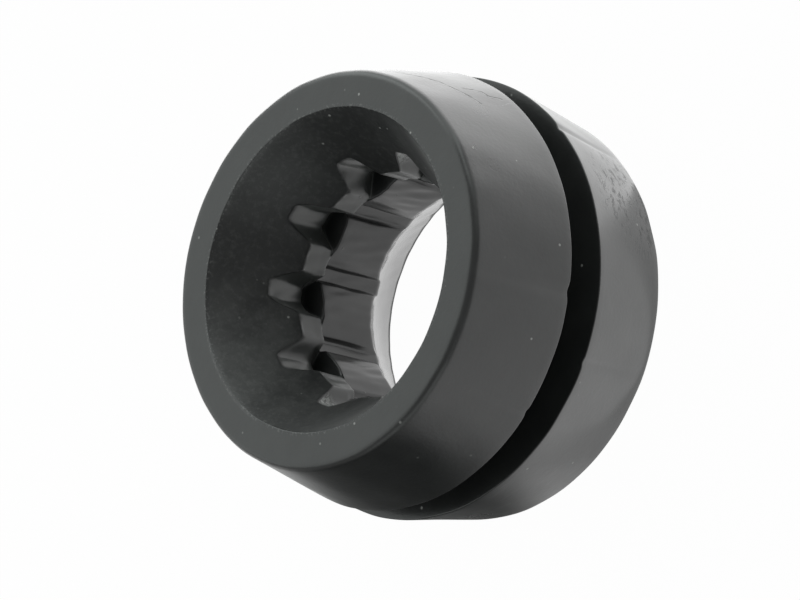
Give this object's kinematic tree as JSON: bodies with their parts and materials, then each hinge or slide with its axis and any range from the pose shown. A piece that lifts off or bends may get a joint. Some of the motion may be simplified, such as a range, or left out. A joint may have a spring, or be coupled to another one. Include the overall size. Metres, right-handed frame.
{
  "type": "air filter mounting rubber",
  "caption": "Round black rubber bush with an outer groove for a bracket hole and a lobed bore that grips an air filter housing's peg.",
  "frame": {"origin": "centre of the rear face, on the bore's axis, on the surface that the bush stands on", "axes": "+Z along the bore's axis, towards the wide mouth; the picture is seen from -Y and above"},
  "size_m": [0.0304, 0.0304, 0.0177],
  "materials": {
    "black_rubber": "satin moulded black rubber"
  },
  "bodies": {
    "root": {"mounting_rubber": "black_rubber"}
  },
  "joints": []
}
